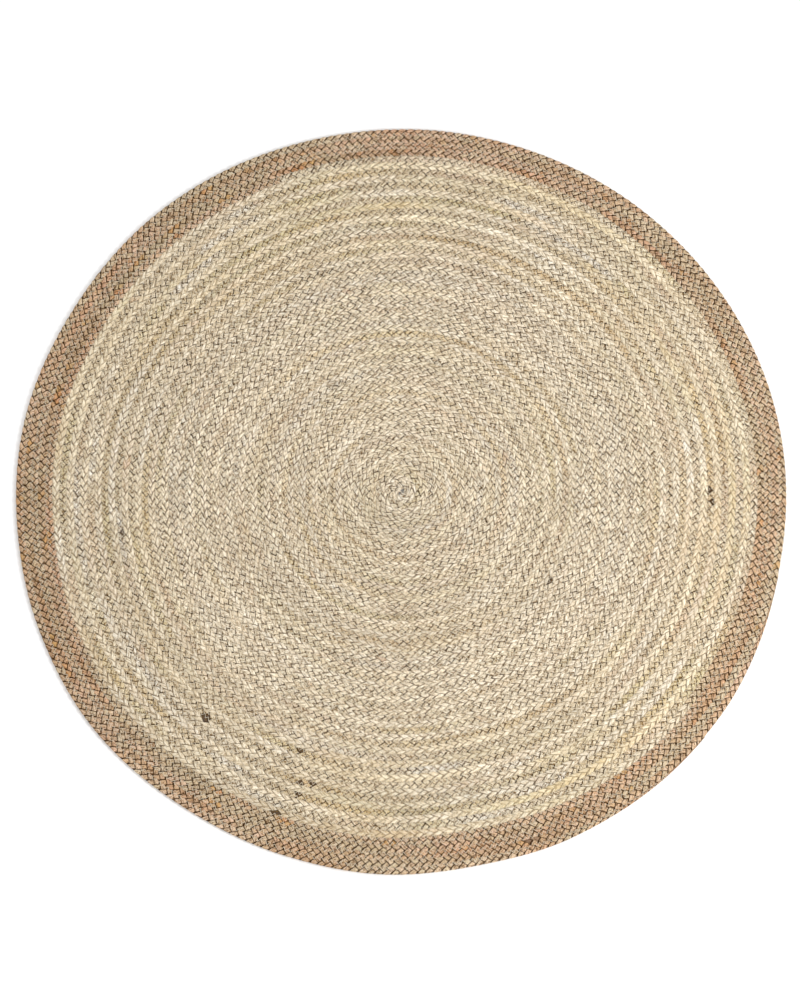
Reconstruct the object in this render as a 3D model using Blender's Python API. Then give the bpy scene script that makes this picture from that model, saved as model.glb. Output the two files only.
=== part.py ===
"""Round braided jute rug, lying flat.

Two flat three-strand jute braids are wound outwards side by side, in one spiral, and sewn edge to
edge. The field is wound from natural braids. A brown braid is joined to the end of each and wound
on as the border. The field and the border are the two solids here. The strands and the sewing
thread are too fine for solids.

Angles are in degrees, counted anticlockwise from +X as seen from above. Lengths are in metres.
The origin is on the floor, under the middle of the rug.
"""

import math

import bmesh
import bpy
from mathutils import Matrix

# A row is one full width of braid, as at the rim, and distances from the middle of the rug are
# counted in such rows. Further in, the real braids were pulled narrower, so that more rows fit.
ROW_WIDTH = 0.0139
BRAID_THICKNESS = 0.009
RIM_ROWS = 54
FIELD_ROWS = 50

# How far the winding steps outwards in a turn: two rows, because two braids are wound together.
# They were sewn nearly in circles, with most of the step on one side of the rug.
TURN_START = 106.0
OUTWARD_STEP = [
    {"angle": 106.0, "rows": 0.00},
    {"angle": 285.0, "rows": 0.05},
    {"angle": 330.0, "rows": 1.35},
    {"angle": 350.0, "rows": 1.45},
    {"angle": 370.0, "rows": 1.65},
    {"angle": 466.0, "rows": 2.00},
]

# Where a brown braid goes on from a natural one, with a short slanting joint.
BRAID_JOINTS = [
    {"angle": 108.0, "arc": 4.5},
    {"angle": 320.0, "arc": 4.5},
]

# Where a brown braid ends at the rim, thinned out and tucked against it.
BRAID_ENDS = [
    {"angle": 285.0, "arc": 35.0},
    {"angle": 325.0, "arc": 22.0},
]

# Where the rows were pulled a little tighter or slacker, so the rim is not quite round.
RIM_UNEVENNESS = [
    {"angle": 0.0, "outward": 0.0041},
    {"angle": 20.0, "outward": 0.0051},
    {"angle": 50.0, "outward": 0.0038},
    {"angle": 80.0, "outward": 0.0014},
    {"angle": 104.0, "outward": -0.0008},
    {"angle": 128.0, "outward": -0.0002},
    {"angle": 151.0, "outward": -0.0048},
    {"angle": 169.0, "outward": -0.0008},
    {"angle": 187.0, "outward": -0.0031},
    {"angle": 203.0, "outward": -0.0016},
    {"angle": 217.0, "outward": 0.0013},
    {"angle": 240.0, "outward": -0.0053},
    {"angle": 253.0, "outward": -0.0038},
    {"angle": 267.0, "outward": -0.0004},
    {"angle": 281.0, "outward": -0.0041},
    {"angle": 296.0, "outward": 0.0020},
    {"angle": 310.0, "outward": 0.0037},
    {"angle": 328.0, "outward": 0.0000},
    {"angle": 343.0, "outward": 0.0038},
]

# The seam between the two coils, and the rounded edges of the braid.
SEAM_GAP = 0.0003
SEAM_EDGE_ROUNDING = 0.0015
RIM_TOP_ROUNDING = 0.0040
RIM_BOTTOM_ROUNDING = 0.0025
RIM_ROUNDING_STEPS = 3

OUTLINE_STEP = 1.5
ANGLE_TOLERANCE = 1e-6
HEIGHT_TOLERANCE = 0.0001
LEVEL_FACE_SLOPE = 0.5
SMOOTH_EDGE_ANGLE = math.radians(40.0)

NATURAL_JUTE = (0.60, 0.51, 0.36, 1.0)
BROWN_JUTE = (0.41, 0.30, 0.19, 1.0)
JUTE_ROUGHNESS = 0.9


def smooth_step(share):
    """Ease a share from 0 to 1, level at both ends."""
    share = min(max(share, 0.0), 1.0)
    return share * share * (3.0 - 2.0 * share)


def angle_in_turn(angle):
    """Give the angle from TURN_START up to one turn past it."""
    return TURN_START + (angle - TURN_START) % 360.0


def rows_stepped(angle):
    """Count the rows that the winding has stepped outwards since the start of the turn."""
    angle = angle_in_turn(angle)
    for before, after in zip(OUTWARD_STEP, OUTWARD_STEP[1:]):
        if angle <= after["angle"]:
            share = smooth_step((angle - before["angle"]) / (after["angle"] - before["angle"]))
            return before["rows"] + share * (after["rows"] - before["rows"])
    raise ValueError("the table ends before this angle")


def rows_dropped(angle, places):
    """Count the rows that have stopped, at joints or ends, since the start of the turn."""
    angle = angle_in_turn(angle)
    return sum(smooth_step((angle - place["angle"]) / place["arc"]) for place in places)


def unevenness_at(angle):
    """Read the rim's outward shift at an angle, eased between the entries of the table."""
    for index, entry in enumerate(RIM_UNEVENNESS):
        before = RIM_UNEVENNESS[index - 1]
        span = (entry["angle"] - before["angle"]) % 360.0
        past = (angle - before["angle"]) % 360.0
        if past <= span:
            share = smooth_step(past / span)
            return before["outward"] + share * (entry["outward"] - before["outward"])
    raise ValueError("no entry of the table holds this angle")


def rim_radius(angle):
    """Find the outer edge of the border, where each brown braid thins out to its end."""
    return ROW_WIDTH * (RIM_ROWS + rows_stepped(angle) - rows_dropped(angle, BRAID_ENDS))


def field_radius(angle):
    """Find the outer edge of the field, where each natural braid gives way to a brown one."""
    return ROW_WIDTH * (FIELD_ROWS + rows_stepped(angle) - rows_dropped(angle, BRAID_JOINTS))


def coil_outline(radius_at, offset):
    """List the outline's points around the coil, shifted by offset, and less uneven further in."""
    points = []
    for step in range(round(360.0 / OUTLINE_STEP)):
        angle = step * OUTLINE_STEP + ANGLE_TOLERANCE
        radius = radius_at(angle)
        radius += unevenness_at(angle) * radius / (ROW_WIDTH * RIM_ROWS) + offset
        turn = math.radians(angle)
        points.append((radius * math.cos(turn), radius * math.sin(turn), 0.0))
    return points


def rug_middle():
    """Find the middle of the rug's box, which lies a little off the winding's own centre."""
    rim = coil_outline(rim_radius, 0.0)
    middle = [(min(values) + max(values)) / 2.0 for values in zip(*rim)]
    return middle[0], middle[1]


def add_loop(bm, points):
    """Add a closed loop of edges through the points."""
    verts = [bm.verts.new(point) for point in points]
    return [bm.edges.new((verts[index - 1], vert)) for index, vert in enumerate(verts)]


def thicken(bm):
    """Extrude the flat faces up by the braid's thickness and face the solid outwards."""
    extruded = bmesh.ops.extrude_face_region(bm, geom=bm.faces[:], use_keep_orig=True)
    top_verts = [item for item in extruded["geom"] if isinstance(item, bmesh.types.BMVert)]
    bmesh.ops.translate(bm, verts=top_verts, vec=(0.0, 0.0, BRAID_THICKNESS))
    bmesh.ops.recalc_face_normals(bm, faces=bm.faces[:])


def corner_edges(bm, height, inner_limit, outer_limit):
    """List the edges at one height, between two radii, where a level face meets an upright one."""
    found = []
    for edge in bm.edges:
        at_height = all(abs(vert.co.z - height) < HEIGHT_TOLERANCE for vert in edge.verts)
        level_faces = [face for face in edge.link_faces if abs(face.normal.z) > LEVEL_FACE_SLOPE]
        radius = sum(vert.co.xy.length for vert in edge.verts) / 2.0
        if at_height and len(level_faces) == 1 and inner_limit < radius < outer_limit:
            found.append(edge)
    return found


def round_edges(bm, edges, width, steps):
    """Round the given edges off."""
    bmesh.ops.bevel(bm, geom=edges, offset=width, segments=steps, profile=0.5, affect="EDGES")


def make_material(name, colour):
    """Make a plain jute finish."""
    material = bpy.data.materials.new(name)
    material.use_nodes = True
    material.diffuse_color = colour
    shader = material.node_tree.nodes["Principled BSDF"]
    shader.inputs["Base Color"].default_value = colour
    shader.inputs["Roughness"].default_value = JUTE_ROUGHNESS
    shader.inputs["Metallic"].default_value = 0.0
    return material


def finish_piece(name, bm, material):
    """Turn the solid into a named object, with the middle of the rug over the origin."""
    middle_x, middle_y = rug_middle()
    bm.normal_update()
    bmesh.ops.transform(bm, matrix=Matrix.Translation((-middle_x, -middle_y, 0.0)), verts=bm.verts[:])
    mesh = bpy.data.meshes.new(name)
    bm.to_mesh(mesh)
    bm.free()
    mesh.materials.append(material)
    mesh.shade_smooth()
    mesh.set_sharp_from_angle(angle=SMOOTH_EDGE_ANGLE)
    piece = bpy.data.objects.new(name, mesh)
    bpy.context.scene.collection.objects.link(piece)
    return piece


def make_field_coil():
    """Make the natural coil, which fills the rug up to the border's seam."""
    bm = bmesh.new()
    outline = add_loop(bm, coil_outline(field_radius, -SEAM_GAP / 2.0))
    bmesh.ops.contextual_create(bm, geom=outline)
    thicken(bm)
    seam_edges = corner_edges(bm, BRAID_THICKNESS, 0.0, math.inf)
    round_edges(bm, seam_edges, SEAM_EDGE_ROUNDING, 1)
    bmesh.ops.triangulate(bm, faces=bm.faces[:])
    return finish_piece("field_coil", bm, make_material("natural_jute", NATURAL_JUTE))


def make_border_coil():
    """Make the brown coil, which lies round the field and has the rug's rounded rim."""
    bm = bmesh.new()
    inner = add_loop(bm, coil_outline(field_radius, SEAM_GAP / 2.0))
    outer = add_loop(bm, coil_outline(rim_radius, 0.0))
    bmesh.ops.bridge_loops(bm, edges=inner + outer)
    thicken(bm)
    mid_border_radius = ROW_WIDTH * (FIELD_ROWS + RIM_ROWS) / 2.0
    seam_edges = corner_edges(bm, BRAID_THICKNESS, 0.0, mid_border_radius)
    top_rim_edges = corner_edges(bm, BRAID_THICKNESS, mid_border_radius, math.inf)
    bottom_rim_edges = corner_edges(bm, 0.0, mid_border_radius, math.inf)
    round_edges(bm, seam_edges, SEAM_EDGE_ROUNDING, 1)
    round_edges(bm, top_rim_edges, RIM_TOP_ROUNDING, RIM_ROUNDING_STEPS)
    round_edges(bm, bottom_rim_edges, RIM_BOTTOM_ROUNDING, RIM_ROUNDING_STEPS)
    bmesh.ops.triangulate(bm, faces=bm.faces[:])
    return finish_piece("border_coil", bm, make_material("brown_jute", BROWN_JUTE))


def main():
    """Clear the scene and make the rug's two coils."""
    for old in list(bpy.data.objects):
        bpy.data.objects.remove(old, do_unlink=True)
    make_field_coil()
    make_border_coil()


main()
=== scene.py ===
"""Round braided jute rug: how it looks.

Two flat three-strand jute braids are wound outwards side by side, in one spiral, and sewn edge to
edge with a zigzag of thread. Each length of braid is one mesh, made from arrays, because its lobes
repeat thousands of times. Angles are in degrees, anticlockwise from +X as seen from above.
"""

import math

import bpy
import numpy as np
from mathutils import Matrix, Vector


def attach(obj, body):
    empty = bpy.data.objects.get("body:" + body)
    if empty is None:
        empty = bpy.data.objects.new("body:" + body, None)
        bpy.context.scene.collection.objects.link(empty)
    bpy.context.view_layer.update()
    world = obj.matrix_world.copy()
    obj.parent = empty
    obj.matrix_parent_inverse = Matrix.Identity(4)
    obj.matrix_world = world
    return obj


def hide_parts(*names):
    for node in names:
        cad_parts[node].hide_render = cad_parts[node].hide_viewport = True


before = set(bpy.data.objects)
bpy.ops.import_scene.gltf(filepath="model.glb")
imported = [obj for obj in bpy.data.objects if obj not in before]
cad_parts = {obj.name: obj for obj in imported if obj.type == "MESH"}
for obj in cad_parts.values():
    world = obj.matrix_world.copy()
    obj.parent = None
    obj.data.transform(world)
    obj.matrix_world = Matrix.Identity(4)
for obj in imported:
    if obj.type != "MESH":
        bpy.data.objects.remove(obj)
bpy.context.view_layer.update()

bl_info = {
    "name": "Round jute rug",
    "version": (1, 0, 0),
    "blender": (4, 5, 0),
    "location": "3D View > Sidebar > Jute Rug",
    "description": "The braids and sewing thread of a round jute rug",
    "category": "Object",
}

# The winding. A row is one width of braid, and rows are counted from the middle. Rows near the rim
# are as wide as in the CAD. The braids were pulled narrower further in, so more rows fit there.
ROW_WIDTH = 0.0139
ROW_STEP = 0.1
RIM_ROWS = 60
RIM_FULL_WIDTHS = 54
RIM_RADIUS = RIM_FULL_WIDTHS * ROW_WIDTH
WIDTH_ROWS = np.array([0.0, 18.0, 42.0, 53.0, 64.0])
WIDTH_SHARES = np.array([0.8315, 0.849, 0.925, 1.0, 1.0])

# How far the winding steps outwards in a turn: two rows, because two braids are wound together.
TURN_START = 106.0
ROWS_A_TURN = 2.0
STEP_ANGLES = np.array([106.0, 285.0, 330.0, 350.0, 370.0, 466.0])
STEP_ROWS = np.array([0.0, 0.05, 1.35, 1.45, 1.65, 2.0])
OUTLINE_STEP = 1.5
ANGLE_TOLERANCE = 1e-6

# Near the middle the braids are wound in an even spiral, because they bend too tightly for a step.
EVEN_ROWS = 2.0
STEPPED_ROWS = 10.0

# Where the rows were pulled tighter or slacker, so that the rim is not quite round.
UNEVEN_ANGLES = np.array(
    [0, 20, 50, 80, 104, 128, 151, 169, 187, 203, 217, 240, 253, 267, 281, 296, 310, 328, 343, 360.0]
)
UNEVEN_MM = np.array(
    [4.1, 5.1, 3.8, 1.4, -0.8, -0.2, -4.8, -0.8, -3.1, -1.6]
    + [1.3, -5.3, -3.8, -0.4, -4.1, 2.0, 3.7, 0.0, 3.8, 4.1]
)

# The small waves that the sewing left in the rows: how many go round, how many radians each turns
# in a metre outwards, where it starts, and its height against the others.
PULL_WAVES = ((3.0, 31.0, 0.7, 1.0), (7.0, -47.0, 2.1, 1.0), (13.0, 60.0, 4.0, 0.7))
PULL_HEIGHT = 0.0006
PULL_FADE = 0.1
PULL_END = 0.74

# The braids: their first rows, where they start, where a brown one goes on from a natural one, where
# the brown ones thin out to their ends, and how much of that end is sewn.
CREAM_FIRST_ROW = 0.5
TAN_FIRST_ROW = 1.5
CREAM_START = TURN_START - 50.0
TAN_START = TURN_START - 230.0
TAN_TO_BROWN = 27 * 360.0 + 110.25
CREAM_TO_BROWN = 27 * 360.0 + 322.25
LAST_TURN = 29 * 360.0
LONG_BRAID_END = {"angle": LAST_TURN + 285.0, "arc": 35.0}
SHORT_BRAID_END = {"angle": LAST_TURN + 325.0, "arc": 22.0}
THINNED_AWAY = 0.88
THIN_END_THICKNESS = 0.35
SEWN_SHARE = 0.8
COURSE_STEP = 1.0
COURSE_MARGIN = 8.0

# A lobe is where a strand shows on top of the braid. It has four stations along the braid, and
# each half of the braid has four columns across, from the edge towards the middle line. The outer
# half's lobes lie half a lobe behind the inner half's.
STATIONS = 4
HALF_LOBE = STATIONS // 2
SPARE_LOBES = 3
LOBE_MIDDLE = 0.7
LEVEL_AT = np.array([0, 1, 2, 1])
COLUMNS = np.array([0.0, 0.2, 0.45, 0.72])
SIDE_COUNT = len(COLUMNS)
TOP_COUNT = 2 * SIDE_COUNT + 1
EDGE_HALF_WIDTH = np.array([0.49, 0.525, 0.55])
LOBE_HEIGHTS_MM = np.array(
    [
        [5.7, 5.6, 5.8, 6.0],
        [7.0, 7.7, 8.3, 8.2],
        [7.4, 8.1, 8.9, 8.8],
    ]
)
MIDDLE_HEIGHTS_MM = np.array([6.2, 6.6])

# How unevenly the lobes lie, and how the heights of whole stretches drift.
LOBE_LIFT = np.array([0.0, 0.75, 1.0])
LIFT_SHAPE = np.array([0.3, 0.8, 1.0, 0.8])
LIFT_SPREAD_MM = 0.45
GAP_DEPTH_MM = 0.5
SHIFT_SPREAD = 0.09
SINK_FULL_MM = 5.0
RISE_MM = 0.3
RISE_FULL_MM = 6.0
RISE_ARC = 11.0
RISE_ROW_SHIFT = 0.37
RISE_SEED = 5

# The underside, at every second station.
UNDER_STEP = 2
UNDERSIDE_COLUMNS = np.array([-0.36, 0.0, 0.36])
UNDER_COUNT = len(UNDERSIDE_COLUMNS)
UNDER_LEANS = np.array([0.25, 1.0, 0.25])
UNDER_EDGE_MM = 1.2
UNDER_MIDDLE_MM = 0.5

# What the faces carry: places round the braid, as shares of its girth, and shares of the lobe.
GIRTH = 0.036
TOP_GIRTH = 0.56
UNDER_GIRTHS = np.array([0.88, 0.78, 0.68])
END_GIRTHS = (0.01, 0.02)
EDGE_SHARE = 0.3
UNDER_SHARES = np.array([0.3, 0.9, 0.3])
STATION_LENGTH = 0.0045
STRIP_MARGIN = 0.002
STRIP_ROW_MARGIN = 0.03
CELL_MARGIN = 0.1

# How far the fibre pattern is shifted from lobe to lobe, and how much its angle varies.
FIBRE_SHIFT = 3.0
FIBRE_TURN_SPREAD = 7.0
DRIFT_VALUES = 4096


def srgb(red, green, blue):
    """Turn a colour as seen, from 0 to 255, into the linear values that Blender uses."""
    seen = np.array([red, green, blue]) / 255.0
    linear = np.where(seen <= 0.04045, seen / 12.92, ((seen + 0.055) / 1.055) ** 2.4)
    return tuple(float(value) for value in linear)


def smooth_step(share):
    """Ease shares from 0 to 1, level at both ends."""
    share = np.clip(share, 0.0, 1.0)
    return share * share * (3.0 - 2.0 * share)


def read_table(angles, table_angles, table_values):
    """Read a table at many angles, eased between its entries."""
    index = np.clip(np.searchsorted(table_angles, angles, side="right") - 1, 0, len(table_angles) - 2)
    span = table_angles[index + 1] - table_angles[index]
    share = smooth_step((angles - table_angles[index]) / span)
    return table_values[index] + share * (table_values[index + 1] - table_values[index])


def drift(values, seed):
    """Give smooth noise from -1 to 1 along a line, with a new value at each whole number."""
    table = np.random.default_rng(seed).uniform(-1.0, 1.0, DRIFT_VALUES)
    index = np.floor(values).astype(int)
    share = smooth_step(values - index)
    return table[index % DRIFT_VALUES] * (1.0 - share) + table[(index + 1) % DRIFT_VALUES] * share


def row_radii():
    """List the radius after every tenth of a row, with the widths added up from the middle."""
    rows = np.arange(0.0, WIDTH_ROWS[-1] + ROW_STEP, ROW_STEP)
    widths = ROW_WIDTH * np.interp(rows, WIDTH_ROWS, WIDTH_SHARES)
    return rows, np.concatenate(([0.0], np.cumsum((widths[1:] + widths[:-1]) * (ROW_STEP / 2.0))))


ROW_COUNTS, ROW_RADII = row_radii()


def even_radius(rows):
    """Find the radius at a number of rows in an even winding."""
    return np.sign(rows) * np.interp(np.abs(rows), ROW_COUNTS, ROW_RADII)


def rows_stepped(angles):
    """Count the rows that the winding has stepped outwards since the start of the turn."""
    return read_table(TURN_START + (angles - TURN_START) % 360.0, STEP_ANGLES, STEP_ROWS)


def evenly_stepped(angles):
    """Count the rows that an even spiral steps outwards from the start of the turn."""
    return ROWS_A_TURN * ((angles - TURN_START) % 360.0) / 360.0


def winding_radius(rows, angles):
    """Find the radius of a place in the winding, given its rows in an even spiral."""
    weight = smooth_step((rows - EVEN_ROWS) / (STEPPED_ROWS - EVEN_ROWS))
    radius = even_radius(rows + weight * (rows_stepped(angles) - evenly_stepped(angles)))
    uneven = read_table(angles % 360.0, UNEVEN_ANGLES, UNEVEN_MM) / 1000.0
    return radius + uneven * radius / RIM_RADIUS


def rim_rows(angles):
    """Count the rows at the rim in an even spiral, where each brown braid thins out to its end."""
    in_turn = TURN_START + (angles - TURN_START) % 360.0
    dropped = 0.0
    for end in (LONG_BRAID_END, SHORT_BRAID_END):
        dropped = dropped + smooth_step((in_turn - (end["angle"] - LAST_TURN)) / end["arc"])
    return RIM_ROWS + ROWS_A_TURN * (in_turn - TURN_START) / 360.0 - dropped


def winding_centre():
    """Find where the winding's centre lies, so that the rug's box is centred on the origin."""
    angles = np.arange(0.0, 360.0, OUTLINE_STEP) + ANGLE_TOLERANCE
    radius = winding_radius(rim_rows(angles), angles)
    across = radius * np.cos(np.radians(angles))
    back = radius * np.sin(np.radians(angles))
    return -(across.min() + across.max()) / 2.0, -(back.min() + back.max()) / 2.0


CENTRE_X, CENTRE_Y = winding_centre()


def sewn_in_pull(radius, angles):
    """Give the small pulls in and out, in metres, that the sewing left in the rows."""
    turn = np.radians(angles)
    waves = [
        height * np.sin(around * turn + outward * radius + start)
        for around, outward, start, height in PULL_WAVES
    ]
    fade = smooth_step(radius / PULL_FADE) * smooth_step((PULL_END - radius) / PULL_FADE)
    return PULL_HEIGHT * sum(waves) * fade


def place_points(rows, angles, heights):
    """Place points of the winding in the rug's frame."""
    radius = winding_radius(rows, angles)
    radius = radius + sewn_in_pull(radius, angles)
    turn = np.radians(angles)
    return np.stack((radius * np.cos(turn) + CENTRE_X, radius * np.sin(turn) + CENTRE_Y, heights), axis=-1)


class Course:
    """The line that a braid or a seam follows through the winding."""

    def __init__(self, first_row, start, end, thinning=None):
        self.first_row = first_row
        self.thinning = thinning
        self.start = start
        self.end = end
        self.angles = np.arange(start, end + COURSE_MARGIN, COURSE_STEP)
        points = place_points(self.rows_at(self.angles, 0.0), self.angles, np.zeros(len(self.angles)))
        steps = np.linalg.norm(np.diff(points, axis=0), axis=1)
        self.lengths = np.concatenate(([0.0], np.cumsum(steps)))

    def length_at(self, angle):
        """Find the length along the course at a winding angle."""
        return float(np.interp(angle, self.angles, self.lengths))

    def angles_at(self, lengths):
        """Find the winding angles at lengths along the course."""
        return np.interp(lengths, self.lengths, self.angles)

    def width_at(self, angles):
        """Give the braid's width in rows, which falls where it thins out."""
        if self.thinning is None:
            return np.ones_like(angles)
        share = (angles - self.thinning["angle"]) / self.thinning["arc"]
        return 1.0 - THINNED_AWAY * smooth_step(share)

    def rows_at(self, angles, across):
        """Count the rows at a place across the braid, from -0.5 inside to 0.5 outside."""
        inner_edge = self.first_row - 0.5 + ROWS_A_TURN * (angles - TURN_START) / 360.0
        return inner_edge + (0.5 + across) * self.width_at(angles)


# How far the two natural braids differ at each row, from 0 to 1: least at row 31, and most at row
# 54.5, near the border.
CONTRAST_ROWS = np.array([0.0, 3.0, 21.0, 25.0, 28.0, 31.0, 38.0, 45.0, 54.5, 57.5])
CONTRASTS = np.array([0.15, 0.32, 0.25, 0.35, 0.3, 0.08, 0.15, 0.55, 0.62, 0.25])


def braid_contrast(rows):
    """Tell how far the two natural braids differ, from 0 to 1."""
    return np.interp(rows, CONTRAST_ROWS, CONTRASTS)


class MeshBlocks:
    """Faces gathered in blocks of equal corner counts, with what their corners carry."""

    def __init__(self):
        self.blocks = []

    def add(self, verts, first, outer, **carried):
        """Add faces by their corners' vertices, with each face's first station and its half."""
        block = {"verts": verts, "first": first[:, None], "outer": outer, **carried}
        self.blocks.append({item: np.broadcast_to(value, verts.shape) for item, value in block.items()})

    def corners(self, item):
        """Join one item of every block, corner by corner."""
        return np.concatenate([block[item].ravel() for block in self.blocks])

    def faces(self, item):
        """Join one item of every block, face by face."""
        return np.concatenate([block[item][:, 0] for block in self.blocks])

    def corner_counts(self):
        """Count every face's corners."""
        return np.concatenate([np.full(*block["verts"].shape) for block in self.blocks])


def build_mesh(name, points, corner_verts, corner_counts):
    """Make a mesh object from arrays of points and faces."""
    mesh = bpy.data.meshes.new(name)
    mesh.vertices.add(len(points))
    mesh.vertices.foreach_set("co", np.asarray(points, dtype=np.float32).ravel())
    mesh.loops.add(len(corner_verts))
    mesh.loops.foreach_set("vertex_index", corner_verts.astype(np.int32))
    mesh.polygons.add(len(corner_counts))
    starts = np.concatenate(([0], np.cumsum(corner_counts)[:-1]))
    mesh.polygons.foreach_set("loop_start", starts.astype(np.int32))
    mesh.update(calc_edges=True)
    piece = bpy.data.objects.new(name, mesh)
    bpy.context.scene.collection.objects.link(piece)
    return piece


def add_uv_map(piece, name, across, along):
    """Give a mesh a UV map from two arrays, one value for each corner."""
    layer = piece.data.uv_layers.new(name=name)
    layer.uv.foreach_set("vector", np.stack((across, along), axis=-1).astype(np.float32).ravel())


def add_strand_colours(piece, colours, gloss):
    """Give each face its strand's colour, with the strand's gloss as the alpha."""
    attribute = piece.data.attributes.new("strand_colour", "FLOAT_COLOR", "FACE")
    values = np.concatenate((colours, gloss[:, None]), axis=1)
    attribute.data.foreach_set("color", values.astype(np.float32).ravel())


def add_strip_map(piece, station, cross, first_station, count):
    """Lay the long braid out in rows of a square, as a UV map for baking its textures."""
    strips = max(1, round(math.sqrt(count * STATION_LENGTH / GIRTH)))
    strip_stations = int(math.ceil(count / strips / STATIONS)) * STATIONS
    strip = first_station // strip_stations
    along = (station - strip * strip_stations) / strip_stations * (1.0 - 2.0 * STRIP_MARGIN) + STRIP_MARGIN
    up = (strip + STRIP_ROW_MARGIN + (1.0 - 2.0 * STRIP_ROW_MARGIN) * cross) / strips
    add_uv_map(piece, "OFBake", along, np.clip(up, 0.0, 1.0))


def column_shares():
    """List the shares from edge to middle of the nine columns across the top."""
    return np.concatenate((COLUMNS, [1.0], COLUMNS[::-1]))


def top_lattice(stations, random, spacing, lean, zigzag):
    """Work out the top's places along, across and up, for every station and column."""
    inner_level = LEVEL_AT[stations % STATIONS]
    outer_level = LEVEL_AT[(stations + HALF_LOBE) % STATIONS]
    lobe_count = len(stations) // STATIONS + SPARE_LOBES
    middle = -zigzag * np.cos(stations * math.pi / 2.0)
    across = np.zeros((len(stations), TOP_COUNT))
    up = np.zeros_like(across)
    along = np.zeros_like(across)
    inner_edge = -EDGE_HALF_WIDTH[inner_level]
    outer_edge = EDGE_HALF_WIDTH[outer_level]
    across[:, :SIDE_COUNT] = inner_edge[:, None] + (middle - inner_edge)[:, None] * COLUMNS
    across[:, SIDE_COUNT] = middle
    across[:, SIDE_COUNT + 1:] = (outer_edge[:, None] + (middle - outer_edge)[:, None] * COLUMNS)[:, ::-1]
    inner_lobe = stations // STATIONS
    outer_lobe = (stations + HALF_LOBE) // STATIONS
    inner_lift = random.normal(0.0, LIFT_SPREAD_MM, lobe_count)[inner_lobe] * LOBE_LIFT[inner_level]
    outer_lift = random.normal(0.0, LIFT_SPREAD_MM, lobe_count)[outer_lobe] * LOBE_LIFT[outer_level]
    gap_depth = np.where(outer_level == 0, random.normal(-GAP_DEPTH_MM, GAP_DEPTH_MM, len(stations)), 0.0)
    outer_lift = outer_lift + gap_depth
    up[:, :SIDE_COUNT] = LOBE_HEIGHTS_MM[inner_level] + inner_lift[:, None] * LIFT_SHAPE
    up[:, SIDE_COUNT] = MIDDLE_HEIGHTS_MM[stations % 2]
    up[:, SIDE_COUNT + 1:] = (LOBE_HEIGHTS_MM[outer_level] + outer_lift[:, None] * LIFT_SHAPE)[:, ::-1]
    marks = np.arange(lobe_count) * STATIONS
    inner_shift = np.interp(stations, marks, random.normal(0.0, SHIFT_SPREAD, lobe_count))
    outer_shift = np.interp(stations, marks - HALF_LOBE, random.normal(0.0, SHIFT_SPREAD, lobe_count))
    shares = column_shares()
    along[:] = stations[:, None] / STATIONS + lean * shares
    along[:, :SIDE_COUNT] += inner_shift[:, None] * (1.0 - 0.5 * COLUMNS)
    along[:, SIDE_COUNT] += (inner_shift + outer_shift) / 4.0
    along[:, SIDE_COUNT + 1:] += outer_shift[:, None] * (1.0 - 0.5 * COLUMNS[::-1])
    return along * spacing, across, up


def underside_lattice(stations, spacing, lean):
    """Work out the underside's places along, across and up, at every second station."""
    inner_low = (stations % STATIONS == HALF_LOBE).astype(float)
    middle = np.full(len(stations), UNDER_MIDDLE_MM)
    up = np.stack((UNDER_EDGE_MM * (1.0 - inner_low), middle, UNDER_EDGE_MM * inner_low), axis=-1)
    along = (stations[:, None] / STATIONS + lean * UNDER_LEANS) * spacing
    across = np.repeat(UNDERSIDE_COLUMNS[None, :], len(stations), axis=0)
    return along, across, up


def top_faces(blocks, count):
    """Add the faces across the top of the braid."""
    station = np.arange(count)
    steps = np.array([0, 0, 1, 1])
    shares = column_shares()
    for column in range(TOP_COUNT - 1):
        columns = np.array([column, column + 1, column + 1, column])
        blocks.add(
            (station[:, None] + steps) * TOP_COUNT + columns,
            station,
            column >= SIDE_COUNT,
            station=station[:, None] + steps,
            cross=columns / (TOP_COUNT - 1) * TOP_GIRTH,
            share=shares[columns],
        )


def side_faces(blocks, count, outer):
    """Add the faces down one edge of the braid, three to every two stations."""
    station = np.arange(0, count, UNDER_STEP)
    column = TOP_COUNT - 1 if outer else 0
    low_start = (count + 1) * TOP_COUNT + (UNDER_COUNT - 1 if outer else 0)
    top = [(station + step) * TOP_COUNT + column for step in range(3)]
    low = [low_start + (station // UNDER_STEP + step) * UNDER_COUNT for step in range(2)]
    top_cross = TOP_GIRTH if outer else 1.0
    low_cross = UNDER_GIRTHS[-1] if outer else UNDER_GIRTHS[0]
    order = [2, 1, 0] if outer else [0, 1, 2]
    faces = [
        ((low[0], top[0], top[1]), (0, 0, 1), (low_cross, top_cross, top_cross)),
        ((low[0], top[1], low[1]), (0, 1, 2), (low_cross, top_cross, low_cross)),
        ((low[1], top[1], top[2]), (2, 1, 2), (low_cross, top_cross, top_cross)),
    ]
    for verts, steps, cross in faces:
        blocks.add(
            np.stack(verts, axis=-1)[:, order],
            station,
            outer,
            station=station[:, None] + np.array(steps)[order],
            cross=np.array(cross)[order],
            share=EDGE_SHARE,
        )


def underside_faces(blocks, count):
    """Add the faces of the underside."""
    station = np.arange(0, count, UNDER_STEP)
    near = ((count + 1) * TOP_COUNT + station // UNDER_STEP * UNDER_COUNT)[:, None]
    steps = np.array([0, 1, 1, 0])
    for column in range(UNDER_COUNT - 1):
        columns = np.array([column, column, column + 1, column + 1])
        blocks.add(
            near + steps * UNDER_COUNT + columns,
            station,
            column > 0,
            station=station[:, None] + steps * UNDER_STEP,
            cross=UNDER_GIRTHS[columns],
            share=UNDER_SHARES[columns],
        )


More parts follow.
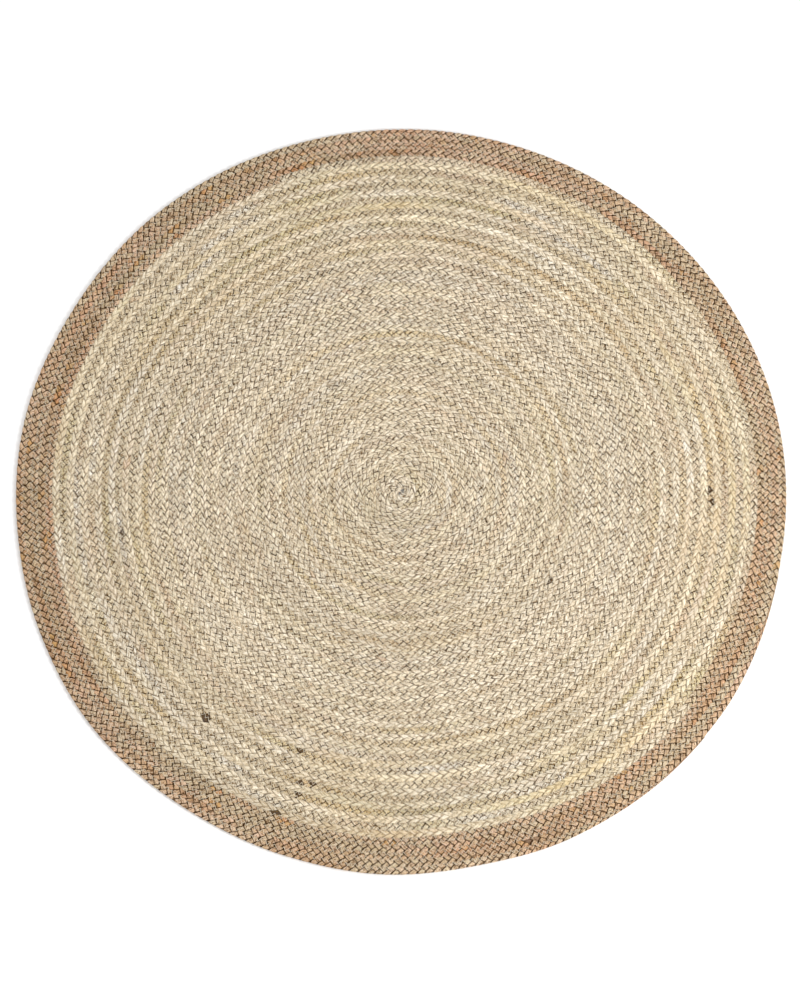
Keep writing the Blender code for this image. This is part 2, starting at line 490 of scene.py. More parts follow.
def end_faces(blocks, count):
    """Close the braid's two ends."""
    low_start = (count + 1) * TOP_COUNT
    low_end = low_start + count // UNDER_STEP * UNDER_COUNT
    for station, low, step in ((0, low_start, 1), (count, low_end, -1)):
        top = station * TOP_COUNT + np.arange(TOP_COUNT)
        ring = np.concatenate((top, low + np.arange(UNDER_COUNT)[::-1]))[::-step]
        cross = np.linspace(*END_GIRTHS, len(ring))
        first = np.array([min(station, count - STATIONS)])
        blocks.add(ring[None, :], first, False, station=station, cross=cross, share=EDGE_SHARE)


def braid_faces(count):
    """Gather all the faces of a braid."""
    blocks = MeshBlocks()
    top_faces(blocks, count)
    side_faces(blocks, count, outer=False)
    side_faces(blocks, count, outer=True)
    underside_faces(blocks, count)
    end_faces(blocks, count)
    return blocks


def crease_lobes(piece, count):
    """Mark the edges between lobes as sharp, and shade the rest of the braid smooth."""
    mesh = piece.data
    mesh.shade_smooth()
    ends = np.zeros(len(mesh.edges) * 2, dtype=np.int32)
    mesh.edges.foreach_get("vertices", ends)
    ends = np.sort(ends.reshape(-1, 2), axis=1)
    on_top = ends[:, 1] < (count + 1) * TOP_COUNT
    station = ends // TOP_COUNT
    column = ends % TOP_COUNT
    same_station = station[:, 0] == station[:, 1]
    inner_line = same_station & (station[:, 0] % STATIONS == 0) & (column[:, 1] <= SIDE_COUNT)
    outer_line = same_station & (station[:, 0] % STATIONS == HALF_LOBE) & (column[:, 0] >= SIDE_COUNT)
    middle_line = (column[:, 0] == SIDE_COUNT) & (column[:, 1] == SIDE_COUNT)
    sharp = mesh.attributes.new("sharp_edge", "BOOLEAN", "EDGE")
    sharp.data.foreach_set("value", on_top & (inner_line | outer_line | middle_line))


def fibre_map(piece, along, across, lobe, outer, random, fibre_angle):
    """Lay the fibre pattern along each lobe's strand, from the edge towards the middle."""
    count = lobe.max() + 2
    shift = random.uniform(0.0, FIBRE_SHIFT, (2, count))
    turn = np.radians(fibre_angle + random.normal(0.0, FIBRE_TURN_SPREAD, (2, count)))
    half = outer.astype(int)
    angle = turn[half, lobe]
    inward = np.where(outer, -across, across) * ROW_WIDTH
    across_fibres = along * np.sin(angle) - inward * np.cos(angle)
    along_fibres = along * np.cos(angle) + inward * np.sin(angle)
    add_uv_map(piece, "fibre", across_fibres + shift[half, lobe], along_fibres + shift[1 - half, lobe])


def braid_points(course, lengths, across, up, sink):
    """Place a braid's points. The dull braid sinks, and a brown one thins out towards its end."""
    angles = course.angles_at(lengths)
    rows = course.rows_at(angles, across)
    thickness = THIN_END_THICKNESS + (1.0 - THIN_END_THICKNESS) * course.width_at(angles)
    sunk = sink * braid_contrast(rows) * np.clip(up / SINK_FULL_MM, 0.0, 1.0)
    rise = RISE_MM * drift(angles / RISE_ARC + rows * RISE_ROW_SHIFT, RISE_SEED)
    rise = rise * np.clip(up / RISE_FULL_MM, 0.0, 1.0)
    return place_points(rows, angles, (up * thickness - sunk + rise) / 1000.0)


def lobe_of(first_station, outer):
    """Tell which lobe faces or corners belong to, in their own half of the braid."""
    return np.where(outer, first_station + HALF_LOBE, first_station) // STATIONS


def braid_piece(name, course, start, end, look, seed):
    """Make one length of braid between two winding angles, coloured lobe by lobe."""
    random = np.random.default_rng(seed)
    first_length = course.length_at(start)
    length = course.length_at(end) - first_length
    lobes = int(round(length / look["spacing"]))
    spacing = length / lobes
    count = lobes * STATIONS
    top = top_lattice(np.arange(count + 1), random, spacing, look["lean"], look["zigzag"])
    under = underside_lattice(np.arange(0, count + 1, UNDER_STEP), spacing, look["lean"])
    along, across, up = [np.concatenate((a.ravel(), b.ravel())) for a, b in zip(top, under)]
    points = braid_points(course, first_length + along, across, up, look["sink"])
    blocks = braid_faces(count)
    verts = blocks.corners("verts")
    piece = build_mesh(name, points, verts, blocks.corner_counts())
    station, first, outer = [blocks.corners(item) for item in ("station", "first", "outer")]
    lobe = lobe_of(first, outer)
    lobe_start = lobe * STATIONS - np.where(outer, HALF_LOBE, 0)
    along_lobe = along[verts] - lobe_start * spacing / STATIONS
    fibre_map(piece, along_lobe, across[verts], lobe, outer, random, look["fibre_angle"])
    add_uv_map(piece, "lobe", (station - lobe_start) / STATIONS, blocks.corners("share"))
    add_strip_map(piece, station, blocks.corners("cross"), first, count)
    colours, gloss = look["colour"](course, first_length, spacing, lobes, random)
    half = blocks.faces("outer").astype(int)
    face_lobe = lobe_of(blocks.faces("first"), blocks.faces("outer"))
    add_strand_colours(piece, colours[half, face_lobe], gloss[half, face_lobe])
    crease_lobes(piece, count)
    return piece, length


def mix(first, second, share):
    """Mix colours by shares."""
    share = np.asarray(share)[..., None]
    return np.asarray(first) * (1.0 - share) + np.asarray(second) * share


def lobe_places(course, first_length, spacing, lobes):
    """Find each lobe's length along its braid, winding angle and rows, for both halves."""
    index = np.arange(lobes + 2)
    lengths = first_length + spacing * (np.stack((index, index - 0.5)) + LOBE_MIDDLE)
    angles = course.angles_at(lengths)
    return lengths, angles, course.rows_at(angles, 0.0)


def strand_of(lobes):
    """Tell which of the three strands each lobe belongs to, for both halves of the braid."""
    index = np.arange(lobes + 2)
    return np.stack((index % 3, (index + 2) % 3))


# Where dark root ends and rust-coloured fibre show, as angle and row counted at TURN_START. First
# how far they reach along the braid, in metres, how softly they end, and how far they reach across
# it, in rows. The two halves of the braid lie a quarter of a row to either side of its middle.
KNOT_REACH = 0.008
RUST_REACH = 0.016
STAIN_SOFTNESS = 1.6
STAIN_ROWS = 0.3
HALVES_FROM_MIDDLE = np.array([[-0.25], [0.25]])
DARK_KNOTS = (
    (251.8, 49.8), (254.0, 49.3), (251.7, 51.4), (249.5, 45.4), (249.3, 54.9), (229.9, 48.0),
    (187.9, 45.3), (328.3, 27.3), (290.1, 58.2), (0.9, 47.2), (358.2, 47.7),
)
RUST_STAINS = (
    (120.0, 56.4), (122.0, 58.9), (105.0, 54.8), (107.0, 56.2), (130.0, 56.6), (138.0, 56.7),
    (144.0, 56.3), (164.0, 56.5), (173.0, 58.7), (188.0, 56.0), (204.0, 58.8), (209.0, 58.6),
    (239.0, 55.8), (240.0, 57.4), (251.0, 55.5), (268.0, 55.6), (307.0, 55.1), (346.0, 55.7),
    (6.0, 57.4),
)

# The drifts along a braid: how long a stretch is in metres, the shifts that set drifts and strands
# apart, and what is added to the braid's seed.
NATURAL_DRIFTS = {
    "whole": (0.16, 0.0, 0.0, 0),
    "own": (0.13, 0.0, 911.3, 10),
    "slow": (0.9, 0.0, 0.0, 20),
    "hue": (0.15, 40.0, 0.0, 30),
    "warm": (0.08, 0.0, 577.0, 40),
    "batch": (3.1, 0.0, 0.0, 50),
    "contrast": (0.5, 0.0, 0.0, 60),
    "age": (0.21, 80.0, 0.0, 70),
}
BROWN_DRIFTS = {
    "whole": (0.19, 0.0, 0.0, 0),
    "own": (0.12, 0.0, 911.3, 10),
    "slow": (0.7, 0.0, 0.0, 20),
    "warm": (0.05, 0.0, 577.0, 40),
    "russet": (0.1, 0.0, 0.0, 70),
}
COLOUR_SEEDS = {"cream": 11, "tan": 12, "long": 61, "short": 62}

# Tinted stretches of the natural braids: the drift that brings a tint, which way, from where, and
# how strong the tint is.
TINTS = (
    ("olive", "hue", 1.0, 0.35, 1.0),
    ("rose", "hue", -1.0, 0.35, 1.0),
    ("golden", "age", 1.0, 0.35, 1.0),
    ("silver", "age", -1.0, 0.45, 1.8),
)
TINT_SPAN = 0.4
TINT_AMOUNTS = {"cream": 0.5, "tan": 0.9}

# The side of the rug with painted shade and the side of the border with painted light.
PAINTED_SHADE_SIDE = 238.0
PAINTED_LIGHT_SIDE = 325.0
AROUND_ARC = 24.0
AROUND_SEED = 77
DULL_GLOSS = 0.3


def drifts_along(table, lengths, strand, seed):
    """Give a braid's drifts by name, for every lobe."""
    return {
        name: drift(lengths / stretch + shift + strand * strand_shift, seed + added)
        for name, (stretch, shift, strand_shift, added) in table.items()
    }


def rising(values, start, span):
    """Go smoothly from 0 at the start to 1 at the end of the span."""
    return smooth_step((values - start) / span)


def stained(places, angles, rows, reach):
    """Tell how strongly each lobe is stained, from places and a reach in metres."""
    turn_rows = rows + HALVES_FROM_MIDDLE - evenly_stepped(angles)
    share = np.zeros(angles.shape)
    for angle, row in places:
        turn = np.abs((angles - angle + 180.0) % 360.0 - 180.0)
        along = np.radians(turn) * even_radius(rows)
        near = (np.abs(turn_rows - row) < STAIN_ROWS) * smooth_step(STAIN_SOFTNESS - along / reach)
        share = np.maximum(share, near)
    return share


def painted_shade_side(angles):
    """Tell how near each lobe is to the side of the rug where shade is painted."""
    return np.clip(np.cos(np.radians(angles - PAINTED_SHADE_SIDE)), 0.0, 1.0)


def natural_colours(palette, braid):
    """Give the function that colours a natural braid's lobes."""

    def colour(course, first_length, spacing, lobes, random):
        lengths, angles, rows = lobe_places(course, first_length, spacing, lobes)
        drifts = drifts_along(NATURAL_DRIFTS, lengths, strand_of(lobes), COLOUR_SEEDS[braid])
        whole, own, slow = [drifts[name] for name in ("whole", "own", "slow")]
        contrast = braid_contrast(rows) * (1.0 + 0.4 * drifts["contrast"])
        yellower = np.clip(0.5 + 0.3 * slow + 0.15 * own, 0.0, 1.0)
        colours = mix(palette["grey_beige"], palette["straw"], yellower)
        colours = mix(colours, palette[braid], contrast * np.clip(0.8 + 0.5 * whole, 0.0, 1.0))
        amount = (0.2 + contrast) * TINT_AMOUNTS[braid] * random.uniform(0.3, 1.0, lengths.shape)
        for tint, name, way, start, strength in TINTS:
            share = np.minimum(strength * amount, 1.0) * rising(way * drifts[name], start, TINT_SPAN)
            colours = mix(colours, palette[tint], share)
        colours = mix(colours, palette["rust"], 0.3 * rising(drifts["warm"], 0.94, 0.06))
        bright = 1.0 + 0.04 * own + (0.05 + 0.07 * contrast) * whole + 0.05 * slow
        bright = bright + 0.03 * drifts["batch"] + random.normal(0.0, 0.03, lengths.shape)
        # Painted shade: the braids are made darker towards one side of the rug.
        bright = bright - 0.17 * contrast * painted_shade_side(angles)
        colours = colours * bright[..., None]
        colours = mix(colours, palette["rust"], 0.7 * stained(RUST_STAINS, angles, rows, RUST_REACH))
        knotted = stained(DARK_KNOTS, angles, rows, KNOT_REACH)
        colours = mix(colours, palette["knot"], 0.95 * knotted)
        gloss = 0.53 + 0.2 * contrast if braid == "cream" else DULL_GLOSS
        return np.clip(colours, 0.0, 1.0), np.clip(gloss * (1.0 - knotted), 0.0, 1.0)

    return colour


def brown_colours(palette, braid):
    """Give the function that colours a brown braid's lobes."""

    def colour(course, first_length, spacing, lobes, random):
        lengths, angles, rows = lobe_places(course, first_length, spacing, lobes)
        drifts = drifts_along(BROWN_DRIFTS, lengths, strand_of(lobes), COLOUR_SEEDS[braid])
        whole, own, slow = [drifts[name] for name in ("whole", "own", "slow")]
        colours = mix(palette["brown"], palette["rose_brown"], np.clip(0.5 + 0.6 * whole, 0.0, 1.0))
        colours = mix(colours, palette["beige"], 0.7 * rising(slow, 0.2, 0.5))
        grey = random.uniform(size=lengths.shape)
        colours = mix(colours, palette["beige"], 0.7 * rising(grey + 0.4 * own, 0.6, 0.3))
        colours = mix(colours, palette["rust"], 0.35 * rising(drifts["russet"], 0.25, 0.5))
        rusty = mix(palette["rust"], palette["ochre"], random.uniform(size=lengths.shape))
        colours = mix(colours, rusty, 0.8 * rising(drifts["warm"], 0.78, 0.25))
        # Painted light and shade: the border is made lighter towards one side of the rug and darker towards
        # the other.
        painted_light_side = np.cos(np.radians(angles - PAINTED_LIGHT_SIDE))
        around = drift(angles / AROUND_ARC + 0.2 * rows, AROUND_SEED)
        bright = 1.0 + 0.06 * own + 0.08 * whole + 0.05 * painted_light_side + 0.07 * around
        bright = bright + random.normal(0.0, 0.08, lengths.shape) - 0.09 * painted_shade_side(angles)
        colours = colours * bright[..., None]
        colours = mix(colours, rusty, 0.85 * stained(RUST_STAINS, angles, rows, RUST_REACH))
        knotted = stained(DARK_KNOTS, angles, rows, KNOT_REACH)
        colours = mix(colours, palette["knot"], 0.95 * knotted)
        return np.clip(colours, 0.0, 1.0), DULL_GLOSS * (1.0 - knotted)

    return colour


class Value:
    """A node's output whose arithmetic adds Math nodes."""

    def __init__(self, finish, socket):
        self.finish = finish
        self.socket = socket

    def math(self, operation, *values):
        """Add a Math node."""
        return self.finish.node("ShaderNodeMath", {"operation": operation}, dict(enumerate(values)))[0]

    def __add__(self, other):
        return self.math("ADD", self, other)

    def __radd__(self, other):
        return self.math("ADD", other, self)

    def __sub__(self, other):
        return self.math("SUBTRACT", self, other)

    def __rsub__(self, other):
        return self.math("SUBTRACT", other, self)

    def __mul__(self, other):
        return self.math("MULTIPLY", self, other)

    def __rmul__(self, other):
        return self.math("MULTIPLY", other, self)

    def least(self, other):
        """Take the smaller of two values."""
        return self.math("MINIMUM", self, other)

    def most(self, other):
        """Take the larger of two values."""
        return self.math("MAXIMUM", self, other)

    def size(self):
        """Drop the sign."""
        return self.math("ABSOLUTE", self)

    def ramp(self, low, high):
        """Go smoothly from 0 at low to 1 at high."""
        settings = {"interpolation_type": "SMOOTHSTEP"}
        sockets = {"Value": self, "From Min": low, "From Max": high}
        return self.finish.node("ShaderNodeMapRange", settings, sockets)["Result"]


class Outputs:
    """A node's outputs, as values, by name or number."""

    def __init__(self, finish, node):
        self.finish = finish
        self.added = node

    def __getitem__(self, key):
        return Value(self.finish, self.added.outputs[key])


class Finish:
    """A material in the making."""

    def __init__(self, name):
        self.material = bpy.data.materials.new(name)
        self.material.use_nodes = True
        self.tree = self.material.node_tree
        self.shader = self.tree.nodes["Principled BSDF"]

    def link(self, value, socket):
        """Set a socket to a value, or link it."""
        if isinstance(value, Value):
            self.tree.links.new(value.socket, socket)
        else:
            socket.default_value = value

    def node(self, kind, settings=None, sockets=None):
        """Add a node, apply its settings, and then fill its sockets."""
        added = self.tree.nodes.new(kind)
        for key, setting in (settings or {}).items():
            setattr(added, key, setting)
        for key, value in (sockets or {}).items():
            self.link(value, added.inputs[key])
        return Outputs(self, added)

    def uv(self, name):
        """Read a UV map."""
        return self.node("ShaderNodeUVMap", {"uv_map": name})["UV"]

    def place(self):
        """Read the place in the piece's own frame."""
        return self.node("ShaderNodeTexCoord")["Object"]

    def parts(self, vector):
        """Split a vector."""
        return self.node("ShaderNodeSeparateXYZ", None, {"Vector": vector})

    def noise(self, place, scale, detail=2.0, roughness=0.5):
        """Add noise, with its own scale for each direction."""
        scaled = self.node("ShaderNodeMapping", {"vector_type": "POINT"}, {"Vector": place, "Scale": scale})
        sockets = {"Vector": scaled["Vector"], "Scale": 1.0, "Detail": detail, "Roughness": roughness}
        return self.node("ShaderNodeTexNoise", {"noise_dimensions": "2D"}, sockets)["Fac"]

    def scale_colour(self, colour, amount):
        """Make a colour lighter or darker."""
        sockets = {0: colour, "Scale": amount}
        return self.node("ShaderNodeVectorMath", {"operation": "SCALE"}, sockets)["Vector"]

    def mix_colour(self, first, second, share):
        """Mix two colours."""
        sockets = {"Factor": share, 6: first, 7: second}
        return self.node("ShaderNodeMix", {"data_type": "RGBA"}, sockets)[2]

    def bump(self, height, strength, distance):
        """Raise the surface's normal by a height from 0 to 1."""
        sockets = {"Height": height, "Strength": strength, "Distance": distance}
        return self.node("ShaderNodeBump", None, sockets)["Normal"]

    def shade(self, **sockets):
        """Fill the shader's sockets."""
        for name, value in sockets.items():
            self.link(value, self.shader.inputs[name.replace("_", " ").title()])


# How fine the patterns on the fibres are: waves in a metre across the fibres and along them.
FINE_FIBRES = (2600.0, 150.0, 1.0)
BUNDLES = (700.0, 90.0, 1.0)
FUZZ = (1500.0, 900.0, 1.0)
GAPS = (360.0, 60.0, 1.0)
GAP_BREAKS = (240.0, 130.0, 1.0)
SPOTS = (620.0, 260.0, 1.0)
WANDER = (330.0, 330.0, 1.0)
LOBE_CHANCE = (1.7, 1.7, 1.0)

# The same for the patterns that spread over many lobes, laid in the piece's own frame.
CROWDING = (34.0, 34.0, 1.0)
PATCHES = (26.0, 26.0, 1.0)

# How fine the thread's patterns are: waves to each of its sides, and to each stitch.
TWIST = (3.0, 40.0, 1.0)
SOIL = (0.05, 0.4, 1.0)

# How strong the painted shadows and the painted highlights on the fibres are, how plain the painted shade
# line round every lobe is, and how much wider than the least it is.
NATURAL_MARKS = {"shadows": 1.0, "light": 0.22, "plain_line": 0.4, "line_width": 0.05}
BROWN_MARKS = {"shadows": 0.9, "light": 0.25, "plain_line": 0.9, "line_width": 0.06}


def fibre_marks(finish, fibre, fuzz, combed):
    """Find the shadows between the fibres, the light beside them, and what is near a gap."""
    crowd = finish.noise(finish.place(), CROWDING, 2.0) - 0.5
    from_gap = (finish.noise(fibre, GAPS, 3.0, 0.5) - 0.5).size()
    broken = (finish.noise(fibre, GAP_BREAKS, 1.0) + 0.15 * crowd).ramp(0.48, 0.56)
    gaps = (1.0 - from_gap.ramp(0.01, 0.09)) * broken
    beside_gap = from_gap.ramp(0.07, 0.11) * (1.0 - from_gap.ramp(0.14, 0.2)) * broken
    spots = (finish.noise(fibre, SPOTS, 3.0, 0.6) + 0.1 * fuzz - 0.1 * crowd).ramp(0.48, 0.38)
    marks = (gaps * (1.0 - 0.6 * combed)).most(spots * (1.0 - combed))
    return marks, beside_gap, 1.0 - from_gap.ramp(0.06, 0.14)


def lobe_shade_and_light(finish, fibre, combed, plain_line, line_width):
    """Find the painted shade line round each lobe, the painted highlight on the lobe's lip, and its outer
    edge, where a little shade is painted along the seam.
    """
    place = finish.parts(finish.uv("lobe"))
    along = place["X"]
    inward = place["Y"]
    wander = finish.noise(fibre, WANDER, 2.0) - 0.5
    line = 1.0 - (along.least(1.0 - along) + 0.12 * wander).ramp(0.05, 0.11 + line_width)
    middle = 1.0 - (1.0 - inward + 0.16 * wander).ramp(0.06, 0.15 + line_width)
    lobe_line_shade = (line * (1.0 - 0.4 * combed)).most(middle * (1.0 - 0.7 * combed))
    chance = finish.noise(fibre, LOBE_CHANCE, 0.0).ramp(0.38, 0.6)
    from_line = along + 0.12 * wander
    lip = from_line.ramp(0.1, 0.16 + line_width) * (1.0 - from_line.ramp(0.2 + line_width, 0.34))
    return lobe_line_shade * (plain_line + (1.0 - plain_line) * chance), lip, 1.0 - inward.ramp(0.0, 0.16)


def jute_finish(name, colours, shadow_colour, shadows, light, plain_line, line_width):
    """Make braided jute: combed fibres along each strand, dark between the lobes."""
    amber = (*colours.amber, 1.0)
    finish = Finish(name)
    strand = finish.node("ShaderNodeAttribute", {"attribute_name": "strand_colour"})
    gloss = strand["Alpha"]
    combed = gloss.ramp(0.4, 0.8)
    sound = gloss.ramp(0.05, 0.25)
    fibre = finish.uv("fibre")
    fine = finish.noise(fibre, FINE_FIBRES, 3.0, 0.6)
    bundles = finish.noise(fibre, BUNDLES, 2.0).ramp(0.3, 0.7)
    fuzz = finish.noise(fibre, FUZZ, 3.0, 0.7)
    patches = finish.noise(finish.place(), PATCHES, 3.0, 0.6) - 0.5
    marks, beside_gap, near_gap = fibre_marks(finish, fibre, fuzz, combed)
    lobe_line_shade, lip, edge = lobe_shade_and_light(finish, fibre, combed, plain_line, line_width)
    # Painted warm shade: amber is mixed in near the gaps between the fibres and next to the line round each
    # lobe, where shade falls.
    warm = near_gap.most(lobe_line_shade.ramp(0.0, 0.5))
    colour = finish.scale_colour(strand["Color"], 0.98 + 0.18 * fine + 0.16 * bundles + 0.45 * patches)
    colour = finish.mix_colour(colour, (*colours.pale, 1.0), beside_gap.most(lip) * sound * light)
    colour = finish.mix_colour(colour, amber, warm * sound * 0.4)
    colour = finish.mix_colour(colour, (*shadow_colour, 1.0), marks * shadows)
    # Painted shade: the crevice colour along the line round every lobe, and faintly along the seams between
    # the rows.
    colour = finish.mix_colour(colour, (*colours.crevice, 1.0), lobe_line_shade.most(edge * 0.1))
    height = fine * 0.5 + bundles * 0.5 + fuzz * 0.25
    finish.shade(
        base_color=colour,
        roughness=0.86 - 0.3 * gloss + 0.15 * fuzz,
        normal=finish.bump(height, 0.7, 0.0006),
    )
    finish.shader.inputs["Sheen Weight"].default_value = 0.04
    finish.shader.inputs["Sheen Roughness"].default_value = 0.5
    finish.shader.inputs["Sheen Tint"].default_value = amber
    finish.shader.inputs["Specular IOR Level"].default_value = 0.15
    finish.shader.inputs["Specular Tint"].default_value = amber
    return finish.material


def thread_finish(name, colour):
    """Make twisted cotton thread."""
    finish = Finish(name)
    place = finish.uv("fibre")
    twist = finish.noise(place, TWIST, 1.0)
    soil = finish.noise(place, SOIL, 2.0)
    shaded = finish.scale_colour(tuple(colour), 0.8 + 0.25 * twist + 0.1 * soil)
    finish.shade(base_color=shaded, roughness=0.75 + 0.1 * twist, normal=finish.bump(twist, 0.5, 0.0002))
    return finish.material


def floor_finish(colour):
    """Make the plain pale floor."""
    finish = Finish("pale_floor")
    finish.shader.inputs["Base Color"].default_value = (*colour, 1.0)
    finish.shader.inputs["Roughness"].default_value = 0.9
    finish.shader.inputs["Specular IOR Level"].default_value = 0.1
    return finish.material


# The zigzag's corners: how far across the seam they lie, in rows, how high, and how unevenly.
TAN_REACH = 0.39
CREAM_REACH = -0.08
REACH_SPREAD = 0.04
STITCH_SPREAD = 0.0003
TAN_THREAD_MM = 9.1
TAN_THREAD_SINK_MM = 1.1
CREAM_THREAD_MM = 8.3
THREAD_SPREAD_MM = 0.2

# The thread's three sides, as shares of its thickness.
THREAD_HALF_WIDTH = 0.62
THREAD_BELOW = 0.3
THREAD_ABOVE = 0.5
THREAD_SIDES = 3


def thread_points(course, start, end, near_side, seed, stitch_length):
    """Place the zigzag's corners over a seam, alternately on its cream and its tan side."""
    random = np.random.default_rng(seed)
    first = course.length_at(start)
    count = int((course.length_at(end) - first) / (stitch_length / 2.0))
    index = np.arange(count)
    lengths = first + (index + 0.5) * stitch_length / 2.0 + random.normal(0.0, STITCH_SPREAD, count)
    angles = course.angles_at(lengths)
    on_tan = index % 2 == 1
    across = np.where(on_tan, TAN_REACH, CREAM_REACH) + random.normal(0.0, REACH_SPREAD, count)
    rows = course.rows_at(angles, 0.0) + near_side * across
    tan_mm = TAN_THREAD_MM - TAN_THREAD_SINK_MM * braid_contrast(rows)
    height_mm = np.where(on_tan, tan_mm, CREAM_THREAD_MM) + random.normal(0.0, THREAD_SPREAD_MM, count)
    return place_points(rows, angles, height_mm / 1000.0), np.radians(angles)


def thread_arrays(points, turns, thickness):
    """Make a three-sided thread through the points, open at its ends and mitred along the row."""
    tangent = np.stack((-np.sin(turns), np.cos(turns), np.zeros(len(turns))), axis=-1)
    up = np.array([0.0, 0.0, 1.0])
    side = tangent * (thickness * THREAD_HALF_WIDTH)
    below = up * thickness * THREAD_BELOW
    above = up * thickness * THREAD_ABOVE
    ring = np.stack((points - side - below, points + above, points + side - below), axis=1)
    start = np.arange(len(points) - 1) * THREAD_SIDES
    faces = []
    for near, far in ((0, 1), (1, 2), (2, 0)):
        corners = (near, far, far + THREAD_SIDES, near + THREAD_SIDES)
        faces.append(start[:, None] + np.array(corners))
    return ring.reshape(-1, 3), np.stack(faces, axis=1)


def orient_threads(ring, faces):
    """Turn each stitch's faces outwards, since the zigzag runs outwards and inwards by turns."""
    flat = faces.reshape(-1, THREAD_SIDES, 4)
    corner = ring[flat[:, 0]]
    normal_up = np.cross(corner[:, 1] - corner[:, 0], corner[:, 2] - corner[:, 1])[:, 2]
    flip = normal_up < 0.0
    flat[flip] = flat[flip][:, :, ::-1]
    return flat.reshape(-1, 4)


def stitching_piece(name, seams, sizes):
    """Make the zigzag threads over some seams as one piece."""
    rings = []
    quads = []
    offset = 0
    for course, start, end, near_side, seed in seams:
        points, turns = thread_points(course, start, end, near_side, seed, sizes.stitch_length)
        ring, faces = thread_arrays(points, turns, sizes.thread_thickness)
        quads.append(orient_threads(ring, faces) + offset)
        rings.append(ring)
        offset += len(ring)
    faces = np.concatenate(quads)
    piece = build_mesh(name, np.concatenate(rings), faces.ravel(), np.full(len(faces), 4))
    index = np.arange(len(faces))[:, None]
    stitch = index // THREAD_SIDES
    end_of_stitch = np.array([0, 1, 1, 0])
    around = index % THREAD_SIDES + np.array([0.0, 0.0, 1.0, 1.0])
    add_uv_map(piece, "fibre", around, stitch + end_of_stitch)
    cells = int(math.ceil(math.sqrt(len(faces) / THREAD_SIDES)))
    cell_size = 1.0 - 2.0 * CELL_MARGIN
    column = stitch % cells + CELL_MARGIN + cell_size * end_of_stitch
    row = stitch // cells + CELL_MARGIN + cell_size * around / THREAD_SIDES
    add_uv_map(piece, "OFBake", column / cells, row / cells)
    return piece


def length_property(name, description, default):
    """Make a length property."""
    return bpy.props.FloatProperty(name=name, description=description, default=default, unit="LENGTH")


class RugSizes(bpy.types.PropertyGroup):
    """Sizes of the braids and the sewing."""

    cream_lobe: length_property("Bright braid's lobe", "From lobe to lobe along the bright braid", 0.0185)
    tan_lobe: length_property("Dull braid's lobe", "From lobe to lobe along all other braids", 0.0158)
    dull_sink: length_property("Dull braid's sink", "How much lower it lies at full contrast", 0.0012)
    stitch_length: length_property("Stitch length", "Length along the seam of one whole zigzag", 0.0093)
    thread_thickness: length_property("Thread thickness", "Thickness of the sewing thread", 0.0008)


def colour_property(name, description, red, green, blue):
    """Make a colour property with a default as seen, from 0 to 255."""
    return bpy.props.FloatVectorProperty(
        name=name,
        description=description,
        default=srgb(red, green, blue),
        min=0.0,
        max=1.0,
        subtype="COLOR",
    )


class RugColours(bpy.types.PropertyGroup):
    """Colours of the jute, the thread and the floor."""

    cream: colour_property("Cream", "Bright natural braid near the border", 222, 210, 183)
    straw: colour_property("Straw", "Natural jute, the yellower part", 234, 224, 204)
    grey_beige: colour_property("Grey-beige", "Natural jute, the greyer part", 230, 222, 207)
    tan: colour_property("Tan", "Dull natural braid near the border", 199, 183, 150)
    olive: colour_property("Olive", "Greenish stretches of the natural braids", 204, 194, 152)
    rose: colour_property("Rose", "Pinkish stretches of the natural braids", 214, 190, 168)
    golden: colour_property("Golden", "Warm stretches of the natural braids", 214, 190, 146)
    silver: colour_property("Silver", "Pale greyish stretches of the natural braids", 234, 230, 220)
    brown: colour_property("Brown", "Border braids", 193, 165, 137)
    rose_brown: colour_property("Rose-brown", "Pinkish stretches of the border", 199, 168, 146)
    rust: colour_property("Rust", "Rust-coloured strands", 180, 114, 78)
    ochre: colour_property("Ochre", "Ochre strands", 190, 148, 90)
    beige: colour_property("Beige", "Greyish lobes and stretches of the border", 190, 177, 152)
    pale: colour_property("Pale", "Highlights of the fibres", 252, 242, 218)
    # Amber is the painted warm shade near the fibre gaps and the lobe lines; it also tints the sheen and
    # the specular reflection.
    amber: colour_property("Amber", "Warm shade deep in the fibres", 190, 158, 106)
    knot: colour_property("Knot", "Dark root ends in the fibre", 62, 46, 36)
    hollow: colour_property("Hollow", "Shadow between the fibres of the natural braids", 112, 84, 44)
    umber: colour_property("Umber", "Shadow between the fibres of the brown braids", 92, 60, 34)
    # Painted shade between the lobes.
    crevice: colour_property("Crevice", "Between the lobes", 48, 26, 6)
    thread: colour_property("Thread", "Sewing thread", 240, 228, 204)
    floor: colour_property("Floor", "Plain floor", 250, 250, 250)


def palette_of(colours):
    """Copy the chosen colours."""
    return {name: np.array(getattr(colours, name)) for name in RugColours.__annotations__}


# The two kinds of braid: how far a lobe leans forward, in lobes, how far the middle line swings, in
# rows, and how steeply the fibres lie.
COMBED_BRAID = {"lean": 0.38, "zigzag": 0.2, "fibre_angle": 28.0}
PLAIN_BRAID = {"lean": 0.24, "zigzag": 0.27, "fibre_angle": 40.0}
SHAPE_SEEDS = {"cream": 101, "tan": 201, "long": 301, "short": 302}


def braid_look(sizes, palette, kind):
    """Gather what a kind of braid looks like."""
    look = {"spacing": sizes.tan_lobe, "sink": 0.0, **PLAIN_BRAID}
    if kind == "cream":
        look = {"spacing": sizes.cream_lobe, "sink": 0.0, **COMBED_BRAID}
    if kind == "tan":
        look["sink"] = sizes.dull_sink * 1000.0
    colours_of = natural_colours if kind in TINT_AMOUNTS else brown_colours
    look["colour"] = colours_of(palette, kind)
    return look


def finish_braid(piece, material):
    """Give a braid its material and attach it to the root body."""
    piece.data.materials.append(material)
    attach(piece, "root")


